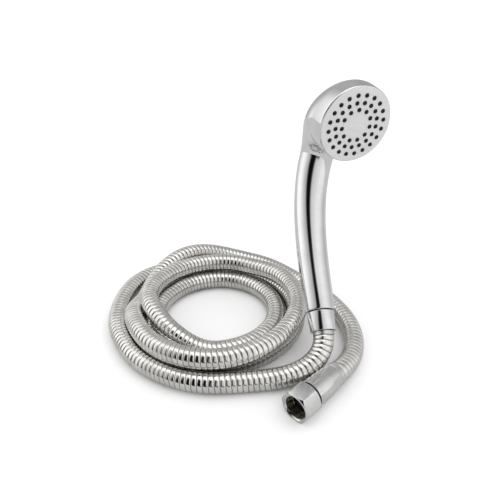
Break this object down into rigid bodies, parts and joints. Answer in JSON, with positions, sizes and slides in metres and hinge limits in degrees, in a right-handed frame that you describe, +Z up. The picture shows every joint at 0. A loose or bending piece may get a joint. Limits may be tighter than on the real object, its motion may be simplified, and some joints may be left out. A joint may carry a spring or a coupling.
{
  "type": "handheld shower head",
  "caption": "Chromed handheld shower head with a round rubber-nozzle face, a curved handle, and a heavy metal hose coiled under it.",
  "frame": {"origin": "start of the thread in the hose's free nut, on the nut's axis", "axes": "+Z up; +X to the right and +Y away as the spray face is looked at from the front; the free nut's axis is level, halfway between +X and +Y"},
  "size_m": [0.2537, 0.2399, 0.2229],
  "materials": {
    "shell_chrome": "polished chrome plate on moulded plastic",
    "face_grey": "pale grey satin",
    "nozzle_rubber": "black silicone rubber",
    "inner_plastic": "moulded grey acetal",
    "tube_plastic": "moulded white",
    "seal_rubber": "black rubber",
    "screw_steel": "stainless steel",
    "fitting_brass": "machined brass",
    "limiter_plastic": "green moulded insert",
    "ferrule_chrome": "polished chrome plate on brass",
    "collar_chrome": "polished chrome plate",
    "hose_steel": "bright interlocked strip",
    "satin_chrome": "satin chrome plate on brass"
  },
  "bodies": {
    "hose": {"hose_cover": "hose_steel", "handset_insert": "fitting_brass", "handset_collar": "collar_chrome", "inlet_washer": "seal_rubber", "supply_collar": "collar_chrome", "supply_sleeve": "satin_chrome", "supply_insert": "fitting_brass", "supply_washer": "seal_rubber"},
    "handset": {"handset_shell": "shell_chrome", "face_plate": "face_grey", "nozzle_mat": "nozzle_rubber", "clamp_plate": "inner_plastic", "chamber_seal": "seal_rubber", "water_chamber": "inner_plastic", "plate_screws": "screw_steel", "water_tube": "tube_plastic", "tube_seal": "seal_rubber", "inlet_spigot": "fitting_brass", "flow_limiter": "limiter_plastic"},
    "handset_nut": {"handset_nut": "ferrule_chrome"},
    "supply_nut": {"supply_nut": "satin_chrome"}
  },
  "joints": [
    {"name": "handset_nut_turn", "type": "hinge", "parent": "hose", "child": "handset_nut", "pos_m": [0.02697, 0.07939, 0.03041], "axis": [0.0938, -0.7585, -0.6448], "range_deg": [0, 1630]},
    {"name": "handset_lift", "type": "slide", "parent": "hose", "child": "handset", "axis": [-0.0938, 0.7585, 0.6448], "range_m": [0, 0.0082]},
    {"name": "supply_nut_spin", "type": "hinge", "parent": "hose", "child": "supply_nut", "pos_m": [0, 0, 0], "axis": [0.7071, 0.7071, 0], "continuous": true}
  ],
  "couplings": [
    {"joint": "handset_nut_turn", "follows": "handset_lift", "rad_per_m": 3463.8}
  ]
}
